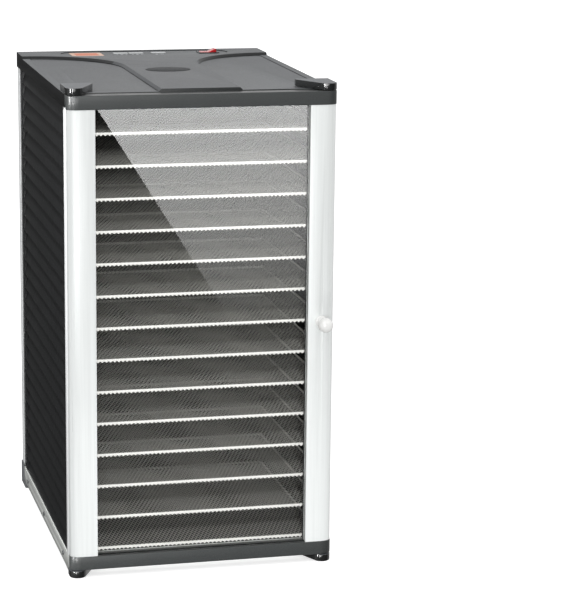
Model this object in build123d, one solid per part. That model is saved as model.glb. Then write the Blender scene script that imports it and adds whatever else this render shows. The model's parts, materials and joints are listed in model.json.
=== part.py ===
from build123d import *
import math
import os

# Food dehydrator: a tall cabinet with a glass door, fourteen wire trays and a rear fan.
# Millimetres. +Z is up, -Y is the door side, and the origin is the centre of the footprint.

# ---------------------------------------------------------------- driving dimensions
# Door
DOOR_WIDTH = 400.0
DOOR_THICKNESS = 22.0
DOOR_BOTTOM = 12.0
DOOR_TOP = 719.5
RAIL_HEIGHT = 20.5
STILE_WIDTH = 41.0
STILE_INSET = 0.8
STILE_WALL = 1.8
CORNER_LENGTH = 18.0
GLASS_THICKNESS = 4.0
GLASS_SET_BACK = 8.0
GROOVE_DEPTH = 8.0
RAIL_GROOVE_DEPTH = 6.0
GASKET_WALL = 1.0

# Cabinet, with depths measured back from the door's front face
KNOB_REACH = 35.0
CABINET_FRONT = 23.5
CABINET_REAR = 520.0
SIDE_HALF_WIDTH = 199.5
SIDE_SHEET = 2.5
RIB_PITCH = 24.05
RIB_COUNT = 28
FIRST_LEDGE = 32.5
LEDGE_TIP = 188.5
RIB_DEPTH = 7.0
POST_DEPTH = 13.5
REAR_POST_DEPTH = 20.0
BASE_RAIL_BOTTOM = 6.0
BASE_RAIL_TOP = 30.0
BAFFLE_DEPTH = 438.0
REAR_PANEL_DEPTH = 513.0
SHEET = 2.0

# Trays
TRAY_COUNT = 14
TRAY_HALF_WIDTH = 193.0
TRAY_FRONT = 30.0
TRAY_DEPTH = 400.0
TRAY_HEIGHT = 5.0
TRAY_RIM = 3.0
TRAY_WIRE = 1.4
TRAY_CELLS = 10

# Lid
LID_HALF_WIDTH = 201.0
LID_BOTTOM = 701.0
LID_RIM = 720.5
LID_FLAT_DROP = 1.0
LID_WALL = 2.5
LID_UNDERSIDE = 716.5
CONSOLE_TOP = 724.5
CONSOLE_UNDERSIDE = 721.5
TONGUE_HALF_WIDTH = 62.0
CONSOLE_SLOPE = 3.8
STRIP_FRONT = 450.0
CONSOLE_CORNER = 135.0
SIDE_RIM = 12.0

# Control panel on the lid
PANEL_X = 2.5
PANEL_DEPTH = 476.0
PANEL_LENGTH = 275.0
PANEL_WIDTH = 64.0
PANEL_RECESS = 1.2
DISPLAY_X = -93.0
DISPLAY_SIZE = (52.0, 46.0)
KEY_SIZE = (24.0, 14.0)
KEY_TRAVEL = 1.2
KEY_XS = {"key_down": -37.0, "key_up": -11.5, "key_start": 25.5}
ROCKER_X = 107.5
ROCKER_TILT = 12.0
BADGE_X = -4.0
BADGE_DEPTH = 249.0
BADGE_RADII = (35.0, 26.0)
BOARD_BOTTOM = 709.0
BOARD_THICKNESS = 1.6

# Hinge brackets
BRACKET_HEIGHT = 10.0
BRACKET_WIDTH = 46.0
WIDE_BRACKET_WIDTH = 51.0
BRACKET_LENGTH = 60.0
BRACKET_NOSE = 12.6
LOWER_BRACKET_TOP = 10.5
PIN_RADIUS = 2.5
PIN_CLEARANCE = 0.05

# Fan and heater
FAN_HEIGHT = 370.0
FAN_RADIUS = 115.0
FAN_HUB_RADIUS = 25.0
FAN_BLADES = 7
FAN_DEPTH = 461.0
SHAFT_RADIUS = 3.0
HEATER_RADIUS = 121.0
HEATER_TUBE = 3.5

# Fasteners
SCREW_RADIUS = 2.0
HEAD_RADIUS = 3.8
HEAD_HEIGHT = 2.2
FIT = 0.05

# ---------------------------------------------------------------- derived places
FRONT = KNOB_REACH - (CABINET_REAR + KNOB_REACH) / 2
HALF_DOOR = DOOR_WIDTH / 2
HINGE_X = HALF_DOOR - DOOR_THICKNESS / 2
HINGE_DEPTH = DOOR_THICKNESS / 2
STILE_INNER = HALF_DOOR - STILE_WIDTH
RIB_OUTER = LEDGE_TIP + RIB_DEPTH + SIDE_SHEET
CAVITY_HALF_WIDTH = LEDGE_TIP - 0.3
KNOB_HEIGHT = 375.0
KNOB_X = 179.0
PANEL_FLOOR = CONSOLE_TOP - PANEL_RECESS
BRACKET_BACK = 1.0 + BRACKET_LENGTH


# ---------------------------------------------------------------- helpers
def block(x0, x1, d0, d1, z0, z1):
    """A box between two x, two depths behind the door's front face, and two heights."""
    size = Box(x1 - x0, d1 - d0, z1 - z0)
    return Pos((x0 + x1) / 2, FRONT + (d0 + d1) / 2, (z0 + z1) / 2) * size


def upright(radius, x, depth, z0, z1):
    """A vertical cylinder."""
    return Pos(x, FRONT + depth, (z0 + z1) / 2) * Cylinder(radius, z1 - z0)


def level(radius, x, z, d0, d1):
    """A cylinder that runs from front to back."""
    turned = Rot(90, 0, 0) * Cylinder(radius, d1 - d0)
    return Pos(x, FRONT + (d0 + d1) / 2, z) * turned


def across(radius, depth, z, x0, x1):
    """A cylinder that runs from left to right."""
    turned = Rot(0, 90, 0) * Cylinder(radius, x1 - x0)
    return Pos((x0 + x1) / 2, FRONT + depth, z) * turned


def raised(sketch, x, depth, z0, z1):
    """A flat sketch, centred on a place in plan, extruded from one height to another."""
    return extrude(Pos(x, FRONT + depth, z0) * sketch, z1 - z0)


def rounded_block(x, depth, z0, z1, width, length, radius):
    return raised(RectangleRounded(width, length, radius), x, depth, z0, z1)


def other_side(shape):
    return mirror(shape, Plane.YZ)


def ledge_height(index):
    return FIRST_LEDGE + index * RIB_PITCH


# ---------------------------------------------------------------- side panels
def side_panel():
    """Right-hand wall: stepped ribs whose inner steps are the ledges that carry the trays."""
    bottom = FIRST_LEDGE - 5.5
    inner_wall = LEDGE_TIP + RIB_DEPTH
    outer_wall = LEDGE_TIP + SIDE_SHEET
    flange = SIDE_HALF_WIDTH - SHEET - 0.2
    points = [(LEDGE_TIP, bottom), (flange, bottom), (flange, BASE_RAIL_TOP), (RIB_OUTER, BASE_RAIL_TOP)]
    for index in range(RIB_COUNT):
        upper = ledge_height(index + 1) - SIDE_SHEET
        points.append((outer_wall, upper))
        points.append((RIB_OUTER, upper))
    points.append((RIB_OUTER, ledge_height(RIB_COUNT)))
    points.append((LEDGE_TIP, ledge_height(RIB_COUNT)))
    for index in reversed(range(RIB_COUNT)):
        points.append((LEDGE_TIP, ledge_height(index + 1) - SIDE_SHEET))
        points.append((inner_wall, ledge_height(index)))
        points.append((LEDGE_TIP, ledge_height(index)))
    profile = make_face(Polyline(*points, close=True))
    front = CABINET_FRONT + POST_DEPTH
    rear = CABINET_REAR - 2 * REAR_POST_DEPTH - 5.0
    ribs = extrude(Pos(0, FRONT + rear, 0) * (Rot(90, 0, 0) * profile), rear - front)
    top = ledge_height(RIB_COUNT)
    end_wall = block(LEDGE_TIP, RIB_OUTER, rear, rear + SIDE_SHEET, BASE_RAIL_TOP, top)
    margin = block(RIB_OUTER - SIDE_SHEET, RIB_OUTER, rear, CABINET_REAR - REAR_POST_DEPTH, BASE_RAIL_TOP, top)
    return ribs + end_wall + margin


# ---------------------------------------------------------------- posts and base
def front_post():
    """Right-hand front corner bar, narrow enough for the trays to pass."""
    post = block(194.5, SIDE_HALF_WIDTH, CABINET_FRONT, CABINET_FRONT + POST_DEPTH, BASE_RAIL_TOP, LID_BOTTOM - 1)
    outer_edges = post.edges().filter_by(Axis.Z).sort_by(Axis.X)[-2:]
    return fillet(outer_edges, 1.2)


REAR_SCREW_HEIGHTS = (60.0, 250.0, 490.0, 680.0)
REAR_SCREW_X = 189.0
REAR_FLANGE = REAR_PANEL_DEPTH + SHEET + 0.5


def rear_post():
    """Right-hand rear corner: an angle with its flanges on the side and on the back."""
    side_flange = block(
        SIDE_HALF_WIDTH - SHEET, SIDE_HALF_WIDTH, CABINET_REAR - REAR_POST_DEPTH, REAR_FLANGE + SHEET,
        BASE_RAIL_TOP, LID_BOTTOM - 1)
    rear_flange = block(178.0, SIDE_HALF_WIDTH, REAR_FLANGE, REAR_FLANGE + SHEET, BASE_RAIL_TOP, LID_BOTTOM - 1)
    post = side_flange + rear_flange
    for height in REAR_SCREW_HEIGHTS:
        post -= level(SCREW_RADIUS + FIT, REAR_SCREW_X, height, REAR_FLANGE - 1, REAR_FLANGE + SHEET + 1)
    return post


BASE_SCREW_DEPTHS = (72.0, 270.0, 450.0)
BASE_SCREW_HEIGHT = 18.0


def base_rail():
    """Right-hand bright base strip with an inward flange below."""
    inner = SIDE_HALF_WIDTH - SHEET
    web = block(inner, SIDE_HALF_WIDTH, CABINET_FRONT, REAR_FLANGE + SHEET, BASE_RAIL_BOTTOM, BASE_RAIL_TOP)
    foot = block(inner - 14, inner, 64.0, 466.0, BASE_RAIL_BOTTOM, BASE_RAIL_BOTTOM + SHEET)
    rail = web + foot
    for depth in BASE_SCREW_DEPTHS:
        rail -= across(SCREW_RADIUS + FIT, depth, BASE_SCREW_HEIGHT, inner - 1, SIDE_HALF_WIDTH + 1)
    return rail


LOWER_BRACKET_SCREWS = ((165.0, 52.0), (188.0, 52.0))


def base_pan():
    """Floor sheet of the cabinet with three upturned flanges."""
    half = SIDE_HALF_WIDTH - SHEET - 0.2
    bottom = LOWER_BRACKET_TOP
    pan = block(-half, half, CABINET_FRONT + 0.5, REAR_PANEL_DEPTH - 0.2, bottom, bottom + SHEET)
    pan += block(-half, half, CABINET_FRONT + 0.5, CABINET_FRONT + 2.5, bottom, 25.0)
    for side in (-1, 1):
        low, high = sorted((side * (half - SHEET), side * half))
        pan += block(low, high, CABINET_FRONT + 0.5, REAR_PANEL_DEPTH - 0.2, bottom, 26.0)
        for x, depth in LOWER_BRACKET_SCREWS:
            pan -= upright(SCREW_RADIUS + FIT, side * x, depth, bottom - 1, bottom + SHEET + 1)
        for depth in BASE_SCREW_DEPTHS:
            pan -= across(SCREW_RADIUS + FIT, depth, BASE_SCREW_HEIGHT, low - 1, high + 1)
    return pan


def floor_plate():
    """Bright floor of the drying chamber, with the lip that shows below the lowest tray."""
    plate = block(-CAVITY_HALF_WIDTH, CAVITY_HALF_WIDTH, 27.0, BAFFLE_DEPTH - 0.3, 26.2, 27.7)
    lip = block(-CAVITY_HALF_WIDTH, CAVITY_HALF_WIDTH, 26.8, 28.3, 13.5, FIRST_LEDGE - 1.0)
    return plate + lip


def rear_foot():
    """Right-hand rear foot, which wraps round the foot of the rear post."""
    pad = block(158.0, 201.3, 472.0, CABINET_REAR - 0.5, 0.0, BASE_RAIL_BOTTOM - 0.1)
    step = block(158.0, SIDE_HALF_WIDTH - SHEET - 0.2, 472.0, REAR_PANEL_DEPTH, BASE_RAIL_BOTTOM - 0.1, LOWER_BRACKET_TOP)
    wrap = block(SIDE_HALF_WIDTH + 0.1, 201.3, 496.0, CABINET_REAR - 0.5, BASE_RAIL_BOTTOM - 0.1, 36.0)
    corner = pad.edges().filter_by(Axis.Z)
    return fillet(corner, 1.5) + step + wrap


# ---------------------------------------------------------------- chamber linings
def baffle_panel():
    """Rear wall of the chamber, with a row of air slots over every tray."""
    panel = block(
        -CAVITY_HALF_WIDTH, CAVITY_HALF_WIDTH, BAFFLE_DEPTH, BAFFLE_DEPTH + SHEET, 27.9, LID_BOTTOM - 4.2)
    for tray in range(TRAY_COUNT):
        height = ledge_height(2 * tray) + RIB_PITCH + 2
        for column in range(-3, 4):
            centre = column * 50.0
            panel -= block(
                centre - 18, centre + 18, BAFFLE_DEPTH - 1, BAFFLE_DEPTH + SHEET + 1, height - 4, height + 4)
    return panel


def inner_ceiling():
    """Sheet that closes the chamber below the lid and carries the electronics."""
    top = LID_BOTTOM - 0.3
    plate = block(-CAVITY_HALF_WIDTH, CAVITY_HALF_WIDTH, 26.5, REAR_PANEL_DEPTH - 0.3, top - 3.7, top - 2.2)
    lip = block(-CAVITY_HALF_WIDTH, CAVITY_HALF_WIDTH, 25.0, 26.5, top - 3.7, top)
    return plate + lip


INLET_X = 130.0
INLET_Z = 76.0
INLET_BODY = (27.0, 20.0)


def rear_panel():
    """Back sheet with the air intake slots round the fan and the cut-out for the inlet."""
    half = SIDE_HALF_WIDTH - SHEET - 0.3
    near, far = REAR_PANEL_DEPTH, REAR_PANEL_DEPTH + SHEET
    panel = block(-half, half, near, far, LOWER_BRACKET_TOP + 0.2, LID_UNDERSIDE - 0.5)
    for row in range(-6, 7):
        for column in (-1, 0, 1):
            x = column * 62.0
            z = FAN_HEIGHT + row * 15.0
            panel -= block(x - 27, x + 27, near - 1, far + 1, z - 3, z + 3)
    width, height = INLET_BODY
    panel -= block(
        INLET_X - width / 2 - 0.2, INLET_X + width / 2 + 0.2, near - 1, far + 1,
        INLET_Z - height / 2 - 0.2, INLET_Z + height / 2 + 0.2)
    for side in (-1, 1):
        for z in REAR_SCREW_HEIGHTS:
            panel -= level(SCREW_RADIUS + FIT, side * REAR_SCREW_X, z, near - 1, far + 1)
    return panel


def power_inlet():
    """Mains inlet: a flanged housing with a keyed recess and three flat pins."""
    width, height = INLET_BODY
    face = REAR_PANEL_DEPTH + SHEET
    housing = block(
        INLET_X - width / 2, INLET_X + width / 2, 488.0, face, INLET_Z - height / 2, INLET_Z + height / 2)
    housing += block(INLET_X - 16, INLET_X + 16, face, face + 2.5, INLET_Z - 13, INLET_Z + 13)
    recess = Polyline(
        (-12, -8), (12, -8), (12, 3), (7, 8), (-7, 8), (-12, 3), close=True)
    mouth = Pos(INLET_X, FRONT + face + 3, INLET_Z) * (Rot(90, 0, 0) * make_face(recess))
    housing -= extrude(mouth, 20.0)
    pins = []
    for x, z in ((-7, -2), (7, -2), (0, 3)):
        pins.append(block(
            INLET_X + x - 1, INLET_X + x + 1, face - 17, face - 4, INLET_Z + z - 2.5, INLET_Z + z + 2.5))
    return Compound([housing.solid()] + [pin.solid() for pin in pins])


# ---------------------------------------------------------------- fan and heater
def fan_motor():
    """Shaded-pole style motor on a cross strap that is fixed to the back sheet."""
    motor = level(30.0, 0, FAN_HEIGHT, 482.0, 508.0)
    motor += level(12.0, 0, FAN_HEIGHT, 476.0, 482.0)
    motor += block(-75, 75, 508.0, REAR_PANEL_DEPTH, FAN_HEIGHT - 9, FAN_HEIGHT + 9)
    return motor - level(SHAFT_RADIUS + PIN_CLEARANCE, 0, FAN_HEIGHT, 470.0, 500.0)


def fan_rotor():
    """Axial rotor: hub, pitched blades and the motor's shaft."""
    hub = level(FAN_HUB_RADIUS, 0, 0, FAN_DEPTH - 8, FAN_DEPTH + 8)
    hub = fillet(hub.edges().sort_by(Axis.Y)[0], 4.0)
    rotor = hub + level(SHAFT_RADIUS, 0, 0, FAN_DEPTH, 498.0)
    span = FAN_RADIUS - FAN_HUB_RADIUS + 4
    outline = Polyline(
        (0, -14), (span - 8, -22), (span, -12), (span, 16), (span - 6, 24), (0, 14), close=True)
    blade = Rot(0, 0, 0) * extrude(make_face(outline), 1.6)
    blade = Pos(FAN_HUB_RADIUS - 4, 0, 0) * (Rot(62, 0, 0) * blade)
    for index in range(FAN_BLADES):
        turned = Rot(0, index * 360.0 / FAN_BLADES, 0) * blade
        rotor += Pos(0, FRONT + FAN_DEPTH, 0) * turned
    return Pos(0, 0, FAN_HEIGHT) * rotor


def heater_element():
    """Ring heater round the rotor, with two terminal legs and a ceramic plate."""
    inner, outer = HEATER_RADIUS - HEATER_TUBE, HEATER_RADIUS + HEATER_TUBE
    element = level(outer, 0, FAN_HEIGHT, 442.0, 449.0) - level(inner, 0, FAN_HEIGHT, 441.0, 450.0)
    low = FAN_HEIGHT - math.sqrt(HEATER_RADIUS ** 2 - 15.0 ** 2)
    for x in (-15, 15):
        element += level(2.5, x, low, 445.5, 509.5)
    return element + block(-30, 30, 508.0, REAR_PANEL_DEPTH, low - 9, low + 9)


def thermal_cutout():
    disc = level(9.0, 70.0, 520.0, BAFFLE_DEPTH + SHEET, BAFFLE_DEPTH + SHEET + 5)
    return disc + block(58, 82, BAFFLE_DEPTH + SHEET, BAFFLE_DEPTH + SHEET + 1, 515, 525)


# ---------------------------------------------------------------- trays
def tray():
    """The lowest tray: a welded wire sheet below a flat rim, with a coarse mesh for a fine one."""
    centre = Pos(0, FRONT + TRAY_FRONT + TRAY_DEPTH / 2, FIRST_LEDGE)
    width, depth = 2 * TRAY_HALF_WIDTH, TRAY_DEPTH
    rim = Rectangle(width, depth) - Rectangle(width - 2 * TRAY_RIM, depth - 2 * TRAY_RIM)
    cell = Rectangle(width / TRAY_CELLS - TRAY_WIRE, depth / TRAY_CELLS - TRAY_WIRE)
    cells = GridLocations(width / TRAY_CELLS, depth / TRAY_CELLS, TRAY_CELLS, TRAY_CELLS)
    mesh = Rectangle(width, depth) - [place * cell for place in cells]
    frame = Pos(0, 0, TRAY_WIRE - 0.4) * extrude(rim, TRAY_HEIGHT - TRAY_WIRE + 0.4)
    return centre * (extrude(mesh, TRAY_WIRE) + frame)


# ---------------------------------------------------------------- lid and controls
UPPER_BRACKET_SCREWS = ((165.0, 50.0), (188.0, 50.0))
CATCH_X = 162.0


def lid_flat():
    """Plan of the area beside the console, with its inner rear corner widely rounded."""
    inner, outer = TONGUE_HALF_WIDTH, LID_HALF_WIDTH + 5
    front = CABINET_FRONT - 5
    plan = Polyline((inner, front), (outer, front), (outer, STRIP_FRONT), (inner, STRIP_FRONT), close=True)
    face = Pos(0, FRONT) * make_face(plan)
    rear_corner = face.vertices().sort_by(Axis.X)[:2].sort_by(Axis.Y)[-1]
    return fillet(rear_corner, CONSOLE_CORNER)


def console_side_edges(body):
    """The long upper edges of the console that face the sunken areas."""
    upper = body.faces().sort_by(Axis.Z)[-1].edges()
    inside = LID_HALF_WIDTH - 1.0
    front = FRONT + CABINET_FRONT + 1.0
    rear = FRONT + CABINET_REAR - 5.0
    return [
        edge for edge in upper
        if abs(edge.center().X) < inside and front < edge.center().Y < rear]


def top_cover():
    """Lid shell with a deep skirt and a raised console in the shape of a T."""
    middle = (CABINET_FRONT + CABINET_REAR) / 2
    length = CABINET_REAR - CABINET_FRONT
    plan = RectangleRounded(2 * LID_HALF_WIDTH, length, 3.0)
    shell = raised(plan, 0, middle, LID_BOTTOM, LID_RIM)
    console = Pos(0, FRONT + middle) * plan
    flat = lid_flat()
    console -= flat
    console -= other_side(flat)
    console_body = extrude(Pos(0, 0, LID_RIM) * console, CONSOLE_TOP - LID_RIM)
    console_body = chamfer(console_side_edges(console_body), CONSOLE_SLOPE)
    cover = shell + console_body
    pocket = extrude(Pos(0, 0, LID_RIM - LID_FLAT_DROP) * flat, LID_FLAT_DROP)
    pocket &= block(0, LID_HALF_WIDTH - SIDE_RIM, CABINET_FRONT + 6, CABINET_REAR, LID_BOTTOM, CONSOLE_TOP)
    cover -= pocket
    cover -= other_side(pocket)
    cover -= block(
        -LID_HALF_WIDTH + LID_WALL, LID_HALF_WIDTH - LID_WALL, CABINET_FRONT + LID_WALL,
        CABINET_REAR - LID_WALL, LID_BOTTOM - 1, LID_UNDERSIDE)
    cover -= block(-58, 58, 40, 500, LID_UNDERSIDE - 1, CONSOLE_UNDERSIDE)
    cover -= block(-190, 190, 458, 512, LID_UNDERSIDE - 1, CONSOLE_UNDERSIDE)
    cover -= raised(
        SlotOverall(PANEL_LENGTH, PANEL_WIDTH), PANEL_X, PANEL_DEPTH, PANEL_FLOOR, CONSOLE_TOP + 1)
    cover -= raised(Ellipse(*BADGE_RADII), BADGE_X, BADGE_DEPTH, CONSOLE_TOP - 0.6, CONSOLE_TOP + 1)
    cover -= rounded_block(
        DISPLAY_X, PANEL_DEPTH, CONSOLE_UNDERSIDE - 1, CONSOLE_TOP, DISPLAY_SIZE[0], DISPLAY_SIZE[1], 2.0)
    for x in KEY_XS.values():
        cover -= rounded_block(
            x, PANEL_DEPTH + 3, CONSOLE_UNDERSIDE - 1, CONSOLE_TOP, KEY_SIZE[0] + 0.8, KEY_SIZE[1] + 0.8, 2.4)
    cover -= block(ROCKER_X - 15.2, ROCKER_X + 15.2, PANEL_DEPTH - 11.2, PANEL_DEPTH + 11.2, LID_UNDERSIDE, CONSOLE_TOP)
    for side in (-1, 1):
        for x, depth in UPPER_BRACKET_SCREWS:
            cover -= upright(SCREW_RADIUS + FIT, side * x, depth, LID_UNDERSIDE - 1, LID_RIM + 1)
    return cover - block(
        CATCH_X - 11.2, CATCH_X + 11.2, CABINET_FRONT - 1, CABINET_FRONT + 4, 704.8, 715.2)


def display_window():
    width, length = DISPLAY_SIZE
    return rounded_block(
        DISPLAY_X, PANEL_DEPTH, PANEL_FLOOR - 1.8, PANEL_FLOOR, width - 0.4, length - 0.4, 1.8)


def display_module():
    """Backlit display below its window: a frame on the board with four corner posts."""
    width, length = DISPLAY_SIZE
    top = CONSOLE_UNDERSIDE - 0.2
    module = rounded_block(DISPLAY_X, PANEL_DEPTH, top - 5, top, width + 6, length - 12, 1.5)
    board_top = BOARD_BOTTOM + BOARD_THICKNESS
    for x in (-1, 1):
        for y in (-1, 1):
            module += upright(
                1.5, DISPLAY_X + x * (width / 2), PANEL_DEPTH + y * (length / 2 - 9), board_top, top - 4)
    return module


def control_board():
    """Circuit board with key switches, a relay, a transformer and a capacitor."""
    top = BOARD_BOTTOM + BOARD_THICKNESS
    board = block(-128, 84, 456, 504, BOARD_BOTTOM, top)
    parts = [board.solid()]
    for x in KEY_XS.values():
        parts.append(block(x - 3, x + 3, PANEL_DEPTH, PANEL_DEPTH + 6, top, top + 1.6).solid())
    parts.append(block(48, 64, 460, 472, top, top + 4).solid())
    parts.append(block(44, 74, 476, 500, BOARD_BOTTOM - 9, BOARD_BOTTOM).solid())
    parts.append(upright(6.0, 20, 466, BOARD_BOTTOM - 9, BOARD_BOTTOM).solid())
    return Compound(parts)


def key(x):
    """A rectangular push button with a retaining flange and a stem down to its switch."""
    depth = PANEL_DEPTH + 3
    cap = rounded_block(x, depth, CONSOLE_UNDERSIDE - 0.4, PANEL_FLOOR + KEY_TRAVEL, *KEY_SIZE, 2.0)
    cap = fillet(cap.faces().sort_by(Axis.Z)[-1].edges(), 0.5)
    flange = rounded_block(
        x, depth, CONSOLE_UNDERSIDE - 1.5, CONSOLE_UNDERSIDE - 0.4, KEY_SIZE[0] + 1.4, KEY_SIZE[1] + 1.4, 2.6)
    switch_top = BOARD_BOTTOM + BOARD_THICKNESS + 1.6
    stem = block(x - 2, x + 2, depth - 2, depth + 2, switch_top + KEY_TRAVEL + 0.3, CONSOLE_UNDERSIDE - 1.4)
    return cap + flange + stem


ROCKER_PIVOT_Z = PANEL_FLOOR + 0.1


def rocker_housing():
    """Snap-in body of the power switch, with a bezel and a well for the rocker."""
    bezel = rounded_block(ROCKER_X, PANEL_DEPTH, PANEL_FLOOR, PANEL_FLOOR + 1.5, 34.0, 26.0, 2.0)
    body = block(ROCKER_X - 15, ROCKER_X + 15, PANEL_DEPTH - 11, PANEL_DEPTH + 11, 702.5, PANEL_FLOOR)
    housing = fillet(bezel.faces().sort_by(Axis.Z)[-1].edges(), 0.6) + body
    housing -= block(
        ROCKER_X - 14.3, ROCKER_X + 14.3, PANEL_DEPTH - 9.3, PANEL_DEPTH + 9.3, ROCKER_PIVOT_Z - 8, CONSOLE_TOP + 4)
    bore = level(1.5 + PIN_CLEARANCE, ROCKER_X, ROCKER_PIVOT_Z, PANEL_DEPTH - 10.4, PANEL_DEPTH + 10.4)
    return housing - bore


def rocker():
    """Power rocker, resting with its right-hand end up, on two trunnions."""
    outline = Polyline((-13.2, 4.4), (0, 1.6), (13.2, 4.4), (12.4, -3.2), (-12.4, -3.2), close=True)
    face = Rot(90, 0, 0) * make_face(outline)
    body = Pos(0, 9.0, 0) * extrude(face, 18.0)
    body = fillet(body.edges().filter_by(Axis.Y).sort_by(Axis.Z)[-2:], 1.0)
    body += Rot(90, 0, 0) * Cylinder(1.5, 20.4)
    tilted = Rot(0, -ROCKER_TILT, 0) * body
    return Pos(ROCKER_X, FRONT + PANEL_DEPTH, ROCKER_PIVOT_Z) * tilted


def badge_plate():
    """Blank oval plate let into the console."""
    a, b = BADGE_RADII
    plate = raised(Ellipse(a - 0.2, b - 0.2), BADGE_X, BADGE_DEPTH, CONSOLE_TOP - 0.6, CONSOLE_TOP + 0.6)
    return chamfer(plate.faces().sort_by(Axis.Z)[-1].edges(), 0.4)


# ---------------------------------------------------------------- hinge brackets
def bracket_plan(width):
    """Plan of a right-hand bracket: a rounded nose over the hinge and a straight back."""
    outer = HALF_DOOR
    nose = Pos(outer - BRACKET_NOSE, FRONT + HINGE_DEPTH + 1) * Circle(BRACKET_NOSE)
    back = Pos(outer - width / 2, FRONT + BRACKET_BACK - 4) * Rectangle(width, 8.0)
    return make_hull(nose.edges() + back.edges())


def upper_bracket(width):
    """Right-hand bracket on the lid, over the corner of the door."""
    body = extrude(Pos(0, 0, LID_RIM) * bracket_plan(width), BRACKET_HEIGHT)
    body = fillet(body.faces().sort_by(Axis.Z)[-1].edges(), 0.8)
    body -= upright(PIN_RADIUS + 0.02, HINGE_X, HINGE_DEPTH, LID_RIM - 1, LID_RIM + 7)
    for x, depth in UPPER_BRACKET_SCREWS:
        body -= upright(SCREW_RADIUS + FIT, x, depth, LID_RIM - 1, LID_RIM + 6.5)
    return body


def lower_bracket():
    """Right-hand bracket below the door, which is also the front foot."""
    body = extrude(bracket_plan(BRACKET_WIDTH), LOWER_BRACKET_TOP)
    body = fillet(body.faces().sort_by(Axis.Z)[0].edges(), 1.5)
    side = SIDE_HALF_WIDTH - SHEET - 0.2
    body -= block(side, side + 10, CABINET_FRONT - 0.2, BRACKET_BACK + 1, -1, LOWER_BRACKET_TOP + 1)
    body -= upright(PIN_RADIUS + 0.02, HINGE_X, HINGE_DEPTH, 3.0, LOWER_BRACKET_TOP + 1)
    for x, depth in LOWER_BRACKET_SCREWS:
        body -= upright(SCREW_RADIUS + FIT, x, depth, -1, LOWER_BRACKET_TOP + 1)
        body -= upright(HEAD_RADIUS + 0.4, x, depth, -1, 3.2)
    return body


def hinge_pins():
    """Upper and lower pins, on the left."""
    upper = upright(PIN_RADIUS, -HINGE_X, HINGE_DEPTH, DOOR_TOP - 11.5, LID_RIM + 6.8)
    lower = upright(PIN_RADIUS, -HINGE_X, HINGE_DEPTH, 3.2, DOOR_BOTTOM + 11.5)
    return Compound([upper.solid(), lower.solid()])


# ---------------------------------------------------------------- door
def member_half(inset, inner, depth, length, round_end):
    """Front or rear half of a door member's plan, from an inner x to its rounded end."""
    radius = HINGE_DEPTH - inset
    middle = HALF_DOOR - length
    bar = Pos((inner + middle) / 2, depth) * Rectangle(middle - inner, radius)
    end = Pos(middle, HINGE_DEPTH) * round_end
    end &= Pos(middle + length / 2, depth) * Rectangle(length, radius)
    return bar + end


def member_plan(inset, inner):
    """Plan of a door member: a long quarter ellipse at its front corner, a quarter circle behind."""
    radius = HINGE_DEPTH - inset
    front = member_half(
        inset, inner, HINGE_DEPTH - radius / 2, CORNER_LENGTH, Ellipse(CORNER_LENGTH - inset, radius))
    rear = member_half(inset, inner, HINGE_DEPTH + radius / 2, DOOR_THICKNESS / 2, Circle(radius))
    return Pos(0, FRONT) * (front + rear)


def rail_plan():
    half = member_plan(0, 0)
    return half + mirror(half, about=Plane.YZ)


def door_rail(low, groove_low, groove_high, tenon_low, tenon_high, edge):
    """A cross rail of the door: a bar with round ends, a glass groove and two tenons."""
    rail = extrude(Pos(0, 0, low) * rail_plan(), RAIL_HEIGHT)
    rail = fillet(rail.faces().sort_by(Axis.Z)[edge].edges(), 1.2)
    half = STILE_INNER + GROOVE_DEPTH
    near = GLASS_SET_BACK - GASKET_WALL
    rail -= block(-half, half, near, near + GLASS_THICKNESS + 2 * GASKET_WALL, groove_low, groove_high)
    for side in (-1, 1):
        x0, x1 = sorted((side * 171.0, side * 187.0))
        rail += block(x0, x1, 4.0, 18.0, tenon_low, tenon_high)
    return rail


def door_rail_top():
    low = DOOR_TOP - RAIL_HEIGHT
    rail = door_rail(low, low - 1, low + RAIL_GROOVE_DEPTH, low - 15, low + 1, -1)
    rail -= upright(PIN_RADIUS + PIN_CLEARANCE, -HINGE_X, HINGE_DEPTH, DOOR_TOP - 12, DOOR_TOP + 1)
    return rail - block(CATCH_X - 12.1, CATCH_X + 12.1, 20.8, 23.0, 703.9, 716.1)


def door_rail_bottom():
    high = DOOR_BOTTOM + RAIL_HEIGHT
    rail = door_rail(DOOR_BOTTOM, high - RAIL_GROOVE_DEPTH, high + 1, high - 1, high + 15, 0)
    return rail - upright(PIN_RADIUS + PIN_CLEARANCE, -HINGE_X, HINGE_DEPTH, DOOR_BOTTOM - 1, DOOR_BOTTOM + 12)


def door_stile():
    """Right-hand upright of the door: a hollow section with a glass groove."""
    low = DOOR_BOTTOM + RAIL_HEIGHT
    high = DOOR_TOP - RAIL_HEIGHT
    body = extrude(Pos(0, 0, low) * member_plan(STILE_INSET, STILE_INNER), high - low)
    inside = member_plan(STILE_INSET + STILE_WALL, STILE_INNER + GROOVE_DEPTH + 2.5)
    body -= extrude(Pos(0, 0, low - 1) * inside, high - low + 2)
    near = GLASS_SET_BACK - GASKET_WALL
    return body - block(
        STILE_INNER - 1, STILE_INNER + GROOVE_DEPTH, near, near + GLASS_THICKNESS + 2 * GASKET_WALL,
        low - 1, high + 1)


def door_stile_right():
    """The right-hand stile also has the knob's screw hole and its access hole behind."""
    stile = door_stile()
    stile -= level(SCREW_RADIUS + FIT, KNOB_X, KNOB_HEIGHT, 0, STILE_INSET + STILE_WALL + 1)
    return stile - level(5.0, KNOB_X, KNOB_HEIGHT, 18, DOOR_THICKNESS)


def glass_block(half, low, high, near, far):
    return block(-half, half, near, far, low, high)


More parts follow.
